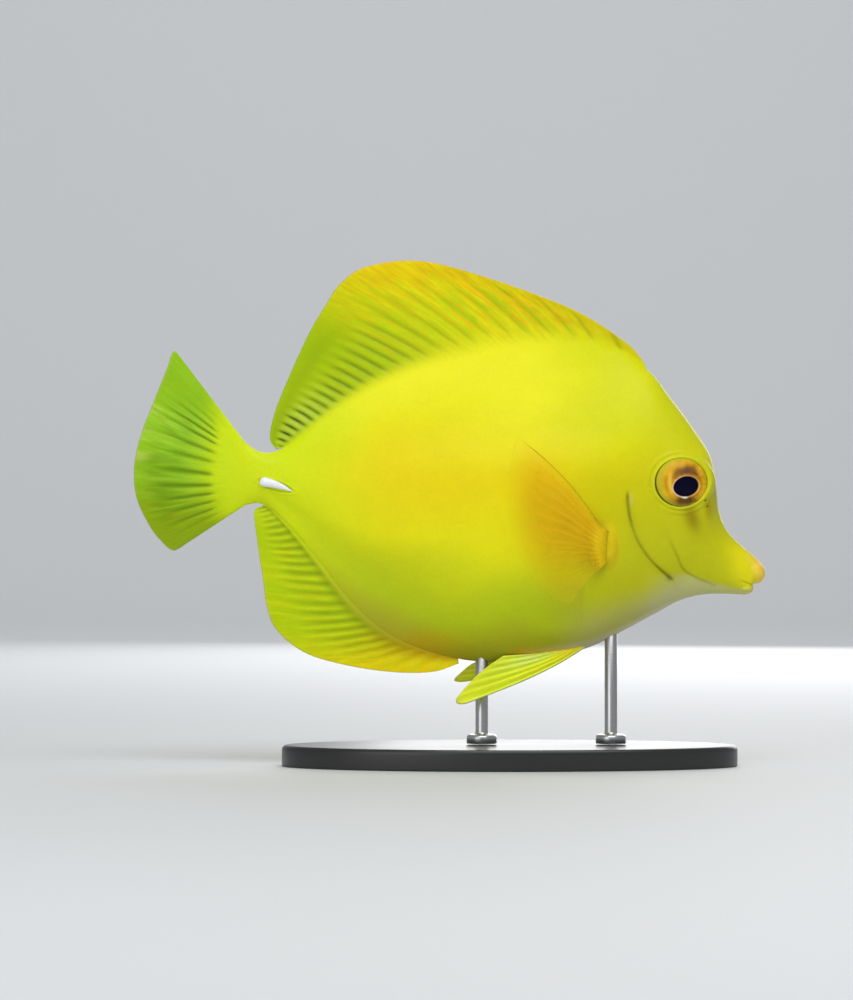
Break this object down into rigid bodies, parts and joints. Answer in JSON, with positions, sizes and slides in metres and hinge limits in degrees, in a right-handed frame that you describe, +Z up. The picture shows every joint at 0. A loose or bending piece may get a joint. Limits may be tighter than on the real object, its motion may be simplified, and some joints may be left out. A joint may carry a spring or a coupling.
{
  "type": "yellow tang fish on a display stand",
  "caption": "Life-size yellow tang, a deep-bodied reef fish with a long snout, raised dorsal and anal fins and a white spine on each side of its tail stock, held on a low oval stand.",
  "frame": {"origin": "On the floor under the middle of the whole object's box, at the underside of the stand's base.", "axes": "+X towards the fish's snout, +Y towards its left side, +Z up. The fish swims level, with its right side towards -Y."},
  "size_m": [0.1498, 0.054, 0.1198],
  "materials": {
    "skin": "moist bright yellow fish skin with fine scales, olive grooves between the fin rays",
    "fin": "thin translucent yellow fin membrane with stiffer rays",
    "eye": "clear moist eye over a gold and brown iris and a blue-black pupil",
    "spine": "smooth white horn-like spine",
    "stand_base": "satin black acrylic",
    "stand_rod": "brushed stainless steel"
  },
  "bodies": {
    "root": {"head": "skin", "lower_jaw": "skin", "torso": "skin", "tail_stock": "skin", "dorsal_fin": "skin", "anal_fin": "skin", "tail_fin": "skin", "pectoral_fin_right": "fin", "pectoral_fin_left": "fin", "pelvic_fin_right": "fin", "pelvic_fin_left": "fin", "eye_right": "eye", "eye_left": "eye", "tail_spine_right": "spine", "tail_spine_left": "spine", "stand_base": "stand_base", "stand_rod_front": "stand_rod", "stand_rod_rear": "stand_rod"}
  },
  "joints": []
}
